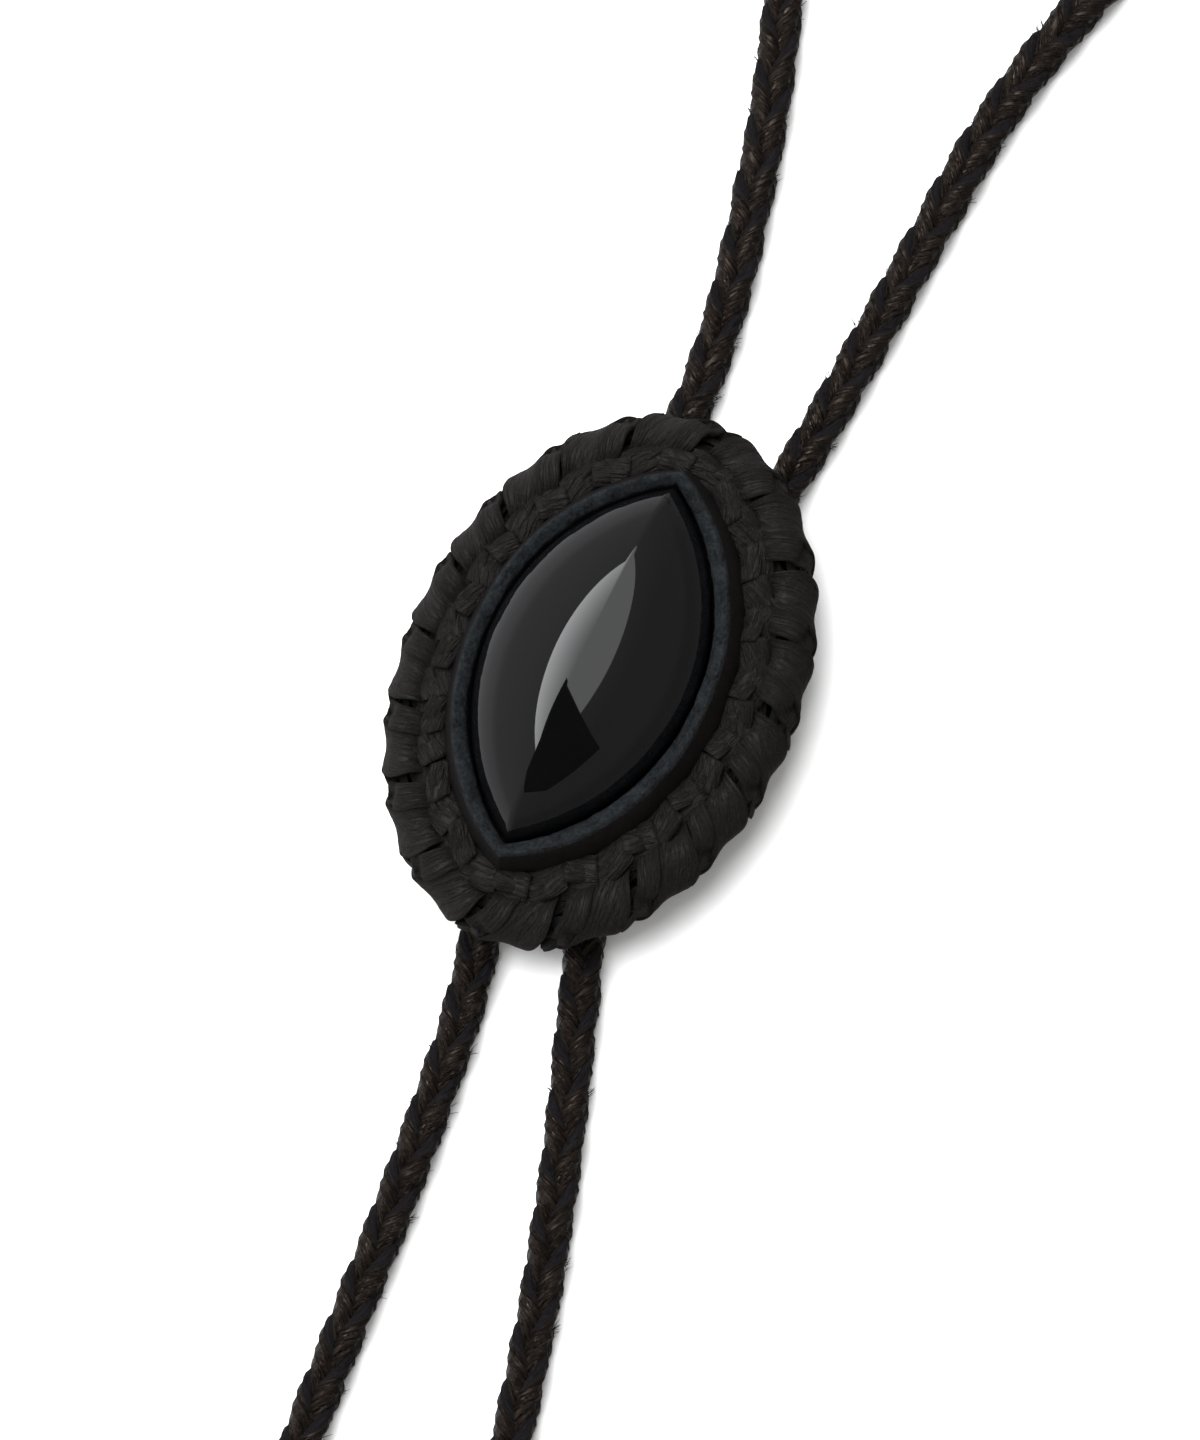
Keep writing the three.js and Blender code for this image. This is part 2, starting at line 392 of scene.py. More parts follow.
def raw_edge_leather(settings):
    """The cut edge of the strap round the stone: blue-grey suede with pale flecks."""
    made, tree = new_material("raw_edge_leather")
    place = node(tree, "ShaderNodeTexCoord").outputs["Object"]
    flecks = grain(tree, place, 2600.0, 5.0, 0.7)
    patches = grain(tree, place, 620.0, 3.0, 0.6)
    fibres = grain(tree, place, 7200.0, 3.0, 0.6)
    shade = maths(tree, "ADD", maths(tree, "MULTIPLY", flecks, 0.6), maths(tree, "MULTIPLY", patches, 0.4))
    shade = to_range(tree, shade, 0.36, 0.62)
    base = colour_mix(tree, shade, rgba(settings.raw_edge, 0.1), rgba(settings.raw_edge, 1.5))
    normal = bumped(tree, flecks, 0.8, 0.00022)
    normal = bumped(tree, fibres, 0.5, 0.00008, normal)
    surface(tree, Base_Color=base, Roughness=0.85, IOR=1.45, Specular_IOR_Level=0.3, Normal=normal)
    return made


def fibre(name, shade):
    made, tree = new_material(name)
    place = node(tree, "ShaderNodeTexCoord").outputs["Object"]
    base = colour_mix(tree, grain(tree, place, 900.0), rgba(shade, 0.6), rgba(shade, 1.4))
    surface(tree, Base_Color=base, Roughness=0.8, IOR=1.45, Specular_IOR_Level=0.3)
    return made


def polished_stone(settings):
    made, tree = new_material("polished_onyx")
    place = node(tree, "ShaderNodeTexCoord").outputs["Object"]
    smears = grain(tree, place, 130.0, 4.0, 0.6)
    clouds = grain(tree, place, 60.0, 3.0, 0.5)
    base = colour_mix(tree, clouds, rgba(settings.colour, 0.7), rgba(settings.colour, 1.5))
    rough = to_range(tree, smears, 0.35, 0.75, 0.018, 0.05)
    surface(tree, Base_Color=base, Roughness=rough, IOR=1.54, Specular_IOR_Level=0.5)
    return made


# ---------------------------------------------------------------- the cord's line

# The routes that the cord follows, in millimetres: points on its centre. Three
# heights recur: held in the keeper, lying on the floor, and rising between the two.
HELD = 3.4
LYING = 2.5
RISING = 3.04

NECK_ROUTE = (
    (-5.2, -8, HELD),
    (-5.2, 0, HELD),
    (-5.2, 8, HELD),
    (-5.2, 13, RISING),
    (-5.1, 20, LYING),
    (-5.2, 34, LYING),
    (-9.0, 54, LYING),
    (-15.2, 74, LYING),
    (-25, 97, LYING),
    (-39, 121, LYING),
    (-54, 147, LYING),
    (-65, 175, LYING),
    (-66, 205, LYING),
    (-53, 232, LYING),
    (-29, 248, LYING),
    (0, 252, LYING),
    (28, 243, LYING),
    (48, 221, LYING),
    (55, 193, LYING),
    (50, 163, LYING),
    (38, 136, LYING),
    (24.5, 111, LYING),
    (14.8, 88, LYING),
    (10.6, 71, LYING),
    (9.1, 52, LYING),
    (7.9, 34, LYING),
    (6.4, 20, LYING),
    (5.5, 13, RISING),
    (5.2, 8, HELD),
    (5.2, 0, HELD),
    (5.2, -8, HELD),
)

LEFT_TAIL_ROUTE = (
    (-5.2, -8.3, HELD),
    (-5.2, -10, HELD),
    (-4.8, -14, RISING),
    (-3.3, -20, LYING),
    (0.2, -32.5, LYING),
    (2.1, -47, LYING),
    (3.5, -64, LYING),
    (5.0, -86, LYING),
)

RIGHT_TAIL_ROUTE = (
    (5.2, -8.3, HELD),
    (5.2, -10, HELD),
    (5.8, -14, RISING),
    (7.4, -20, LYING),
    (10.7, -29, LYING),
    (16.6, -46, LYING),
    (21.8, -64, LYING),
    (25.0, -78, LYING),
)


def rounded_route(points, parts=24):
    """A centripetal Catmull-Rom curve through the points, each gap cut into equal parts."""
    knots = [Vector(p) * MM for p in points]
    knots = [2 * knots[0] - knots[1], *knots, 2 * knots[-1] - knots[-2]]
    line = []
    for before, start, end, after in zip(knots, knots[1:], knots[2:], knots[3:]):
        lead, span, follow = (
            math.sqrt((b - a).length) for a, b in ((before, start), (start, end), (end, after))
        )
        leaving = ((start - before) / lead - (end - before) / (lead + span) + (end - start) / span) * span
        arriving = ((end - start) / span - (after - start) / (span + follow) + (after - end) / follow) * span
        bend = -3 * start + 3 * end - 2 * leaving - arriving
        twist = 2 * start - 2 * end + leaving + arriving
        for i in range(parts):
            t = i / parts
            line.append(start + leaving * t + bend * t**2 + twist * t**3)
    line.append(knots[-2])
    return line


def distances(line):
    """How far along the line each of its points lies."""
    travelled = [0.0]
    for a, b in zip(line, line[1:]):
        travelled.append(travelled[-1] + (b - a).length)
    return travelled


class CordLine:
    """A line that gives its centre, its side and its top at any distance along it."""

    def __init__(self, route, spacing=0.5 * MM):
        line = rounded_route(route)
        travelled = distances(line)
        self.length = travelled[-1]
        self.count = max(2, round(self.length / spacing))
        self.centres = []
        at = 0
        for i in range(self.count + 1):
            distance = self.length * i / self.count
            while at < len(line) - 2 and travelled[at + 1] < distance:
                at += 1
            share = (distance - travelled[at]) / (travelled[at + 1] - travelled[at])
            self.centres.append(line[at].lerp(line[at + 1], min(max(share, 0.0), 1.0)))
        self.sides = []
        self.tops = []
        for i in range(self.count + 1):
            heading = self.centres[min(i + 1, self.count)] - self.centres[max(i - 1, 0)]
            heading.normalize()
            side = heading.cross(Vector((0, 0, 1))).normalized()
            self.sides.append(side)
            self.tops.append(side.cross(heading))

    def at(self, distance):
        place = min(max(distance / self.length, 0.0), 1.0) * self.count
        low = min(int(place), self.count - 1)
        share = place - low
        return (
            self.centres[low].lerp(self.centres[low + 1], share),
            self.sides[low].lerp(self.sides[low + 1], share),
            self.tops[low].lerp(self.tops[low + 1], share),
        )

    def around(self, distance, angle, radius):
        centre, side, top = self.at(distance)
        return centre + (side * math.cos(angle) + top * math.sin(angle)) * radius


# ---------------------------------------------------------------- laces

# The left part of a lace's section, from its cut edge to beside its middle: the place across it and
# the height, as shares of half its width and half its thickness. The cord's laces are skived thin
# along their edges, and the slide's are cut square.
SKIVED_EDGE = ((-1.0, -0.8), (-0.86, -0.1), (-0.70, 0.5), (-0.44, 0.88))
SQUARE_EDGE = ((-0.96, -0.7), (-1.0, -0.1), (-0.93, 0.45), (-0.6, 0.85))
GRAIN_MIDDLE = ((0.0, 1.0),)
FLESH_SIDE = ((0.6, -1.0), (0.0, -1.0), (-0.6, -1.0))


def whole_section(left_edge):
    """Once round a lace, from its left cut edge over the grain side."""
    right_edge = tuple((-across, height) for across, height in reversed(left_edge))
    return left_edge + GRAIN_MIDDLE + right_edge + FLESH_SIDE


CORD_SECTION = whole_section(SKIVED_EDGE)
SLIDE_SECTION = whole_section(SQUARE_EDGE)


def on_section(section, v):
    """The section at a share of the way round, straight between its points."""
    place = (v % 1.0) * len(section)
    low = int(place) % len(section)
    share = place - int(place)
    across, height = section[low]
    next_across, next_height = section[(low + 1) % len(section)]
    return mix(across, next_across, share), mix(height, next_height, share)


STEPS_PER_PITCH = 22
TUFTS_PER_PITCH = 8  # places on a lace where a tuft of fuzz may stand
TUFT_SHARE = 0.5  # share of those places that have one
LOW_ROOT = 1.0 * MM  # a hair rooted below this doesn't point down into the floor


def round_braid(mesh, fuzz, line, settings, over, edge_up):
    """Four laces round a core. over(distance) is the angle of the column where the right-handed laces
    lie on top, and edge_up(distance), from -1 to 1, says which cut edge stands up, 1 being the one
    that faces back along the line."""
    pitch, half_width = settings.pitch, settings.lace_width / 2
    half_thickness = settings.lace_thickness / 2
    slope = math.atan(2 * math.pi * (settings.middle_radius + settings.weave_depth) / pitch)
    lean_across, lean_along = math.cos(slope), math.sin(slope)
    steps = round(line.length / pitch * STEPS_PER_PITCH)
    draw = random.Random(SEED + round(line.length / MM))

    def weave_radius(hand, angle, distance):
        return settings.middle_radius + hand * settings.weave_depth * math.cos(2 * (angle - over(distance)))

    def on_lace(hand, phase, distance, across, height):
        turn = hand * (2 * math.pi * distance / pitch + phase) + over(distance)
        middle = weave_radius(hand, turn, distance)
        along = distance - across * half_width * lean_along
        angle = turn + hand * across * half_width * lean_across / (middle + half_thickness)
        radius = weave_radius(hand, angle, distance)
        tilt = 0.42 * MM * across * edge_up(distance)
        tilt -= 0.22 * MM * across * across
        ripple = noise.noise(Vector((distance / MM * 0.45, phase * 3 + hand * 5, across * 0.8)))
        return line.around(along, angle, radius + height * half_thickness + tilt + ripple * 0.13 * MM)

    laces = [(hand, phase) for hand in (1, -1) for phase in (0.0, math.pi)]
    for hand, phase in laces:

        def place(u, v):
            across, height = on_section(CORD_SECTION, v)
            return on_lace(hand, phase, u * line.length, across, height)

        tube(mesh, steps, 12, place, uv_size=(line.length / MM, 1.0), uv_start=(phase * 40, 0.0))

    core_radius = settings.middle_radius - settings.weave_depth * 0.2
    tube(
        mesh,
        max(8, round(line.length / (3 * MM))),
        10,
        lambda u, v: line.around(u * line.length, 2 * math.pi * v, core_radius),
        uv_size=(line.length / MM, 0.001),
    )

    for hand, phase in laces:
        for i in range(int(line.length / pitch * TUFTS_PER_PITCH)):
            if draw.random() > TUFT_SHARE:
                continue
            distance = (i + draw.random()) * pitch / TUFTS_PER_PITCH
            side = 1 if edge_up(distance) > 0 else -1
            for _ in range(draw.randint(3, 8)):
                at = distance + draw.gauss(0, 0.3) * MM
                root = on_lace(hand, phase, at, side * 0.85, draw.uniform(-0.3, 0.3))
                inner = on_lace(hand, phase, at, side * 0.2, -1.0)
                way = (root - inner).normalized() * 0.7
                way += (root - line.at(at)[0]).normalized() * draw.uniform(0.9, 1.8)
                way += Vector([draw.gauss(0, 0.45) for _ in range(3)])
                if root.z < LOW_ROOT:
                    way.z = abs(way.z)
                long = draw.uniform(0.4, 1.2) * MM
                thick = draw.uniform(0.04, 0.07) * MM
                hair(fuzz, root, way.normalized(), long, thick)


# ---------------------------------------------------------------- plan grid of the slide

SLIDE_HALF_LENGTH = 28.1
SLIDE_HALF_WIDTH = 19.65
STONE_HALF_LENGTH = 19.5
STONE_HALF_WIDTH = 10.75
STONE_MIDDLE = Vector((-0.7, 0.5))
STONE_GIRDLE = 14.9
STONE_RISE = 7.4
PAD_FLOOR = 9.7
MEAN_WIDTH = 9.5  # from the stone's edge to the rim
TURN_STEPS = 720


def ellipse_point(angle):
    return Vector((SLIDE_HALF_WIDTH * math.sin(angle), SLIDE_HALF_LENGTH * math.cos(angle)))


def turn_table():
    """Angles on the ellipse at equal lengths round it."""
    fine = 8 * TURN_STEPS
    travelled = distances([ellipse_point(2 * math.pi * i / fine) for i in range(fine + 1)])
    table = []
    at = 0
    for i in range(TURN_STEPS + 1):
        wanted = travelled[-1] * i / TURN_STEPS
        while at < fine - 1 and travelled[at + 1] < wanted:
            at += 1
        share = (wanted - travelled[at]) / (travelled[at + 1] - travelled[at])
        table.append(2 * math.pi * (at + share) / fine)
    return table, travelled[-1]


ANGLES, RIM_LENGTH = turn_table()


def angle_of_turn(turn):
    place = (turn % 1.0) * TURN_STEPS
    low = min(int(place), TURN_STEPS - 1)
    return mix(ANGLES[low], ANGLES[low + 1], place - low)


def lens_point(angle):
    """A lens of two arcs that meet in points at the ends of the long axis."""
    radius = (STONE_HALF_WIDTH**2 + STONE_HALF_LENGTH**2) / (2 * STONE_HALF_WIDTH)
    reach = math.asin(STONE_HALF_LENGTH / radius)
    side = 1 if angle <= math.pi else -1
    along = angle if side > 0 else 2 * math.pi - angle
    arc = reach * (1 - 2 * along / math.pi)
    return Vector((side * (radius * math.cos(arc) - (radius - STONE_HALF_WIDTH)), radius * math.sin(arc)))


def slide_point(share, turn, z):
    """The point at a share of the way from the stone's edge to the rim, at a height in millimetres."""
    angle = angle_of_turn(turn)
    plan = (STONE_MIDDLE + lens_point(angle)).lerp(ellipse_point(angle), share)
    return Vector((plan.x, plan.y, z)) * MM


class Profile:
    """A rounded line of (share, z) rows, found by its length from the start in millimetres."""

    def __init__(self, rows):
        spread = [(share * MEAN_WIDTH, z, 0.0) for share, z in rows]
        line = [p / MM for p in rounded_route(spread, 12)]
        self.travelled = distances(line)
        self.rows = [(p.x / MEAN_WIDTH, p.y) for p in line]
        self.length = self.travelled[-1]

    def at(self, distance):
        distance = min(max(distance, 0.0), self.length)
        low = min(max(bisect.bisect_right(self.travelled, distance) - 1, 0), len(self.rows) - 2)
        share = (distance - self.travelled[low]) / (self.travelled[low + 1] - self.travelled[low])
        a, b = self.rows[low], self.rows[low + 1]
        return mix(a[0], b[0], share), mix(a[1], b[1], share)

    def point(self, turn, distance, lift=0.0):
        """The point on the swept surface, lifted off it by some millimetres."""
        share, z = self.at(distance)
        here = slide_point(share, turn, z)
        if lift == 0.0:
            return here
        step = 0.0015
        along = slide_point(share, turn + step, z) - slide_point(share, turn - step, z)
        ahead, ahead_z = self.at(distance + 0.25)
        behind, behind_z = self.at(distance - 0.25)
        out = slide_point(ahead, turn, ahead_z) - slide_point(behind, turn, behind_z)
        up = out.cross(along)
        return here + up.normalized() * (lift * MM)


# Over the laced rim, from under the inner edge to the underside.
RIM_PROFILE = Profile(
    (
        (0.55, 10.2),
        (0.58, 11.2),
        (0.64, 12.1),
        (0.73, 12.5),
        (0.83, 12.0),
        (0.90, 10.8),
        (0.925, 9.3),
        (0.90, 7.6),
        (0.84, 6.5),
        (0.74, 6.1),
        (0.58, 6.0),
        (0.40, 6.0),
    )
)
# Over the flat braid, from under the bezel to under the lacing.
BRAID_PROFILE = Profile(
    (
        (0.26, 11.3),
        (0.33, 12.0),
        (0.40, 12.35),
        (0.48, 12.3),
        (0.56, 11.8),
        (0.64, 11.1),
        (0.72, 10.7),
    )
)


def under_strap(mesh, corners):
    """A closed strap round the slide, straight between (share, z) corners."""
    count = len(corners)

    def place(u, v):
        at = v * count
        low = int(at) % count
        a, b = corners[low], corners[(low + 1) % count]
        return slide_point(mix(a[0], b[0], at - int(at)), u, mix(a[1], b[1], at - int(at)))

    ring(mesh, 144, count, place, uv_size=(RIM_LENGTH, 0.001))


def slide_lace(mesh, profile, path, half_width, half_thickness, steps, around, lift, uv_start, relief=None):
    """A lace laid on the swept surface. path(u) gives its turn and its distance down the profile;
    half_width(u) and lift(u, across, distance) are in millimetres."""
    reach = 1e-3

    def direction(u):
        turn, distance = path(min(u + reach, 1.0))
        turn_before, distance_before = path(max(u - reach, 0.0))
        round_it, down_it = (turn - turn_before) * RIM_LENGTH, distance - distance_before
        size = math.hypot(round_it, down_it)
        return round_it / size, down_it / size

    def place(u, v):
        across, height = on_section(SLIDE_SECTION, v)
        turn, distance = path(u)
        round_it, down_it = direction(u)
        offset = across * half_width(u)
        turn += offset * down_it / RIM_LENGTH
        distance -= offset * round_it
        rise = lift(u, across, distance) + height * half_thickness
        if relief is not None and height > 0:
            rise += relief(u, across)
        return profile.point(turn, distance, rise or 1e-6)

    long = distances([profile.point(*path(i / 8)) for i in range(9)])[-1] / MM
    tube(mesh, steps, around, place, uv_size=(long, 1.0), uv_start=(uv_start, 0.0))


# ---------------------------------------------------------------- operators


# The way that the camera leans from straight above, across and down its own view.
LEAN_RIGHT = 0.479
LEAN_DOWN = 0.878


class BOLO_OT_stage(bpy.types.Operator):
    """Makes the floor, the lights, the room and the camera"""

    bl_idname = "bolo.stage"
    bl_label = "Stage"

    def execute(self, context):
        settings = context.scene.bolo_stage
        turn, tilt = settings.camera_turn, settings.camera_tilt
        right = Vector((math.cos(turn), math.sin(turn), 0))
        up = Vector((-math.sin(turn), math.cos(turn), 0))
        lean = (right * LEAN_RIGHT - up * LEAN_DOWN).normalized()
        self.floor()
        self.room(context, settings)
        self.softbox(settings, lean, turn)
        self.flag(lean, turn)
        self.camera(context, settings, lean, tilt, right, up)
        context.scene.view_settings.view_transform = "Standard"
        return {"FINISHED"}

    def sheet(self, name, size, matrix, material, corners=4):
        """A flat rectangle, or with more corners an ellipse, of a width and a height in metres."""
        mesh = bmesh.new()
        turn = Matrix.Rotation(math.pi / 4 if corners == 4 else 0, 4, "Z")
        reach = math.sqrt(0.5) if corners == 4 else 0.5
        bmesh.ops.create_circle(mesh, cap_ends=True, segments=corners, radius=reach, matrix=turn)
        bmesh.ops.scale(mesh, vec=(size[0], size[1], 1), verts=mesh.verts)
        data = bpy.data.meshes.new(name)
        mesh.to_mesh(data)
        mesh.free()
        data.materials.append(material)
        made = bpy.data.objects.new(name, data)
        made.matrix_world = matrix
        bpy.context.collection.objects.link(made)
        return made

    def floor(self):
        material, tree = new_material("floor_paper")
        place = node(tree, "ShaderNodeTexCoord").outputs["Object"]
        speckle = grain(tree, place, 600.0)
        base = colour_mix(tree, speckle, (0.92, 0.92, 0.92, 1), (0.94, 0.94, 0.94, 1))
        surface(
            tree,
            Base_Color=base,
            Roughness=0.9,
            Specular_IOR_Level=0.1,
            Emission_Color=(1, 1, 1, 1),
            Emission_Strength=0.1,
        )
        paper = self.sheet("floor", (6, 6), Matrix.Identity(4), material)
        paper.visible_glossy = False

    def room(self, context, settings):
        """A grey room, a little lighter on the left and darker overhead and on the right."""
        world = bpy.data.worlds.new("room")
        context.scene.world = world
        world.use_nodes = True
        tree = world.node_tree
        tree.nodes.clear()
        way = node(tree, "ShaderNodeTexCoord").outputs["Generated"]
        parts = node(tree, "ShaderNodeSeparateXYZ", {"Vector": way})
        side = to_range(tree, parts.outputs["X"], -0.7, 0.5)
        walls = colour_mix(tree, side, (1.10, 1.10, 1.11, 1), (0.50, 0.49, 0.46, 1))
        low = to_range(tree, parts.outputs["Z"], 0.02, 0.2)
        near_floor = colour_mix(tree, side, (1.5, 1.5, 1.55, 1), (0.35, 0.34, 0.33, 1))
        tone = colour_mix(tree, low, near_floor, walls)
        seen = node(tree, "ShaderNodeLightPath").outputs["Is Camera Ray"]
        dim = node(tree, "ShaderNodeBackground", {"Color": tone, "Strength": settings.room_light})
        pale = node(tree, "ShaderNodeBackground", {"Color": (0.9, 0.9, 0.9, 1), "Strength": 1.0})
        both = node(
            tree,
            "ShaderNodeMixShader",
            {0: seen, 1: dim.outputs["Background"], 2: pale.outputs["Background"]},
        )
        node(tree, "ShaderNodeOutputWorld", {"Surface": both.outputs["Shader"]})

    def softbox(self, settings, lean, turn):
        """A long softbox over the slide, brighter along its left side, and a soft sun above it."""
        material, tree = new_material("softbox_glow")
        place = node(tree, "ShaderNodeTexCoord").outputs["Object"]
        across = node(tree, "ShaderNodeSeparateXYZ", {"Vector": place}).outputs["X"]
        fall = to_range(tree, across, -0.23, 0.0, 6.5, 1.8)
        strength = maths(tree, "MULTIPLY", fall, settings.softbox_light)
        glow = node(tree, "ShaderNodeEmission", {"Color": (0.98, 0.99, 1.0, 1), "Strength": strength})
        node(tree, "ShaderNodeOutputMaterial", {"Surface": glow.outputs["Emission"]})
        height = 0.62
        middle = -lean * (height * math.tan(settings.camera_tilt))
        place = Matrix.Translation(middle + Vector((0, 0, height)))
        box = self.sheet("softbox", (0.50, 1.04), place, material, corners=48)
        box.visible_camera = False
        box.visible_shadow = False
        sun = bpy.data.lights.new("key", "SUN")
        sun.energy = settings.sun_light
        sun.angle = settings.sun_width
        key = bpy.data.objects.new("key", sun)
        bpy.context.collection.objects.link(key)
        key.visible_glossy = False
        side = Matrix.Rotation(turn, 3, "Z") @ Vector((-0.62, 0.78, 0))
        towards = side * math.sin(settings.sun_lean) + Vector((0, 0, math.cos(settings.sun_lean)))
        key.rotation_mode = "QUATERNION"
        key.rotation_quaternion = towards.to_track_quat("Z", "Y")

    def flag(self, lean, turn):
        """A dark card beside the softbox, seen only in reflections."""
        material, tree = new_material("flag_black")
        surface(tree, Base_Color=(0.002, 0.002, 0.002, 1), Roughness=0.9, Specular_IOR_Level=0.0)
        left = Matrix.Rotation(turn, 3, "Z") @ Vector((-0.065, -0.247, 0))
        place = Matrix.Translation(lean * 0.16 + left + Vector((0, 0, 0.52)))
        place = place @ Matrix.Rotation(turn + math.radians(42), 4, "Z")
        card = self.sheet("flag", (0.42, 0.80), place, material)
        card.visible_camera = False
        card.visible_diffuse = False
        card.visible_shadow = False

    def camera(self, context, settings, lean, tilt, right, up):
        data = bpy.data.cameras.new("camera")
        made = bpy.data.objects.new("camera", data)
        context.collection.objects.link(made)
        context.scene.camera = made
        data.sensor_width = 36.0
        data.lens = 200.0
        data.clip_start, data.clip_end = 0.01, 20.0
        back = lean * math.sin(tilt) + Vector((0, 0, math.cos(tilt)))
        axis = Vector((0, 0, 1)).cross(lean).normalized()
        swing = Matrix.Rotation(tilt, 3, axis)
        x, y = swing @ right, swing @ up
        target = Vector((0, 0, 6 * MM)) - y * (3.2 * MM) - x * (0.4 * MM)
        turned = Matrix((x, y, back)).transposed()
        made.matrix_world = Matrix.Translation(target + back * settings.camera_distance) @ turned.to_4x4()


# The tip's outline from its open end: the distance from its axis, and the place along it, as shares
# of its radius and its length.
TIP_RADIUS = 2.7
TIP_LENGTH = 9.0
TIP_OUTLINE = (
    (0.0, 0.0),
    (0.8, 0.0),
    (0.97, 0.02),
    (1.0, 0.06),
    (1.0, 0.6),
    (0.9, 0.85),
    (0.7, 0.96),
    (0.35, 1.0),
    (0.0, 1.0),
)


class BOLO_OT_cord(bpy.types.Operator):
    """Braids the neck loop and the two tails, with their tips"""

    bl_idname = "bolo.cord"
    bl_label = "Cord"

    def execute(self, context):
        settings = context.scene.bolo_cord
        leather = cord_leather(settings)
        fuzz_fibre = fibre("dark_fuzz", (0.006, 0.006, 0.007))
        self.neck_loop(settings, leather, fuzz_fibre)
        for name, route in (("left", LEFT_TAIL_ROUTE), ("right", RIGHT_TAIL_ROUTE)):
            tip = self.tip(name, route, context.scene.bolo_slide)
            self.tail(name, route, settings, leather, fuzz_fibre, tip)
        return {"FINISHED"}

    def neck_loop(self, settings, leather, fuzz_fibre):
        """The column on top rolls a quarter turn on its way round, so both legs look alike."""
        line = CordLine(NECK_ROUTE)
        mesh, fuzz = bmesh.new(), bmesh.new()
        start, end = math.radians(135), math.radians(45)
        round_braid(
            mesh,
            fuzz,
            line,
            settings,
            over=lambda s: mix(start, end, smooth(0.2, 0.8, s / line.length)),
            edge_up=lambda s: mix(-1, 1, smooth(0.35, 0.65, s / line.length)),
        )
        lace_piece("neck_loop_braid", mesh, leather, "cord_leather", "neck_loop")
        piece("neck_loop_fuzz", fuzz, [fuzz_fibre], "cord_leather")

    def tail(self, name, route, settings, leather, fuzz_fibre, tip):
        line = CordLine(route)
        mesh, fuzz = bmesh.new(), bmesh.new()
        over = math.radians(45)
        round_braid(mesh, fuzz, line, settings, over=lambda s: over, edge_up=lambda s: 1)
        fuzz = piece(f"tail_{name}_fuzz", fuzz, [fuzz_fibre], "cord_leather")
        made = lace_piece(f"tail_{name}_braid", mesh, leather, "cord_leather", f"tail_{name}")
        [c * MM for c in route[0]]
        [list(line.centres[i]) for i in range(0, line.count + 1, 4)]

    def tip(self, name, route, slide):
        """A plain leather end with a shallow seam along its top."""
        end, before = Vector(route[-1]) * MM, Vector(route[-2]) * MM
        heading = (end - before).normalized()
        radius, long = TIP_RADIUS, TIP_LENGTH
        side = heading.cross(Vector((0, 0, 1)))
        start = end + heading * (0.3 * MM)
        start.z = radius * MM

        def place(u, v):
            at = u * (len(TIP_OUTLINE) - 1)
            low = min(int(at), len(TIP_OUTLINE) - 2)
            distance = mix(TIP_OUTLINE[low][0], TIP_OUTLINE[low + 1][0], at - low) * radius
            along = mix(TIP_OUTLINE[low][1], TIP_OUTLINE[low + 1][1], at - low) * long
            seam = -0.14 * math.exp(-(((v - 0.25) * 40) ** 2)) if 0.01 < u < 0.9 else 0.0
            distance = max(distance + seam * min(distance, 1.0), 0.0)
            angle = 2 * math.pi * v
            return start + heading * (along * MM) + (
                side * math.cos(angle) + Vector((0, 0, 1)) * math.sin(angle)
            ) * (distance * MM)

        mesh = bmesh.new()
        corners = patch(mesh, 8 * 6, 64, place)
        bmesh.ops.remove_doubles(mesh, verts=corners, dist=1e-7)
        leather = plain_leather(f"tip_leather_{name}", slide)
        return piece(f"tip_{name}_cap", mesh, [leather], "slide_leather", f"tip_{name}")


class BOLO_OT_stone(bpy.types.Operator):
    """Makes the polished stone"""

    bl_idname = "bolo.stone"
    bl_label = "Stone"

    def execute(self, context):
        settings = context.scene.bolo_stone
        wall = 0.16  # share of the rows that the straight side takes

        def place(u, v):
            angle = angle_of_turn(u)
            if v < wall:
                share, z = 1.0, mix(PAD_FLOOR, STONE_GIRDLE, v / wall)
            else:
                share = math.cos((v - wall) / (1 - wall) * math.pi / 2)
                z = STONE_GIRDLE + STONE_RISE * (1 - share**settings.fullness) ** 0.6
            oval = Vector((STONE_HALF_WIDTH * math.sin(angle), STONE_HALF_LENGTH * math.cos(angle)))
            plan = STONE_MIDDLE + oval.lerp(lens_point(angle), share) * share
            return Vector((plan.x, plan.y, z)) * MM

        mesh = bmesh.new()
        corners = patch(mesh, 216, 64, place)
        bmesh.ops.remove_doubles(mesh, verts=corners, dist=1e-7)
        floor = [e for e in mesh.edges if e.is_boundary]
        bmesh.ops.holes_fill(mesh, edges=floor, sides=0)
        piece("stone_cabochon", mesh, [polished_stone(settings)], "onyx", "stone")
        return {"FINISHED"}


# Once round the bezel's section: share, z, and how rough the surface is there.
BEZEL_ROWS = (
    (0.037, 9.8, 0.0),
    (0.345, 9.8, 0.0),
    (0.35, 10.8, 0.0),
    (0.335, 12.0, 0.0),
    (0.30, 13.2, 0.0),
    (0.26, 14.3, 0.0),
    (0.225, 15.2, 0.0),
    (0.195, 15.85, 0.1),
    (0.17, 16.15, 0.5),
    (0.12, 15.95, 1.0),
    (0.075, 15.6, 1.0),
    (0.045, 15.25, 1.0),
    (0.037, 14.4, 0.6),
)
ROW_PARTS = 3  # steps from one row to the next
FIRST_RAW_ROW = 7
LAST_RAW_ROW = 12.6


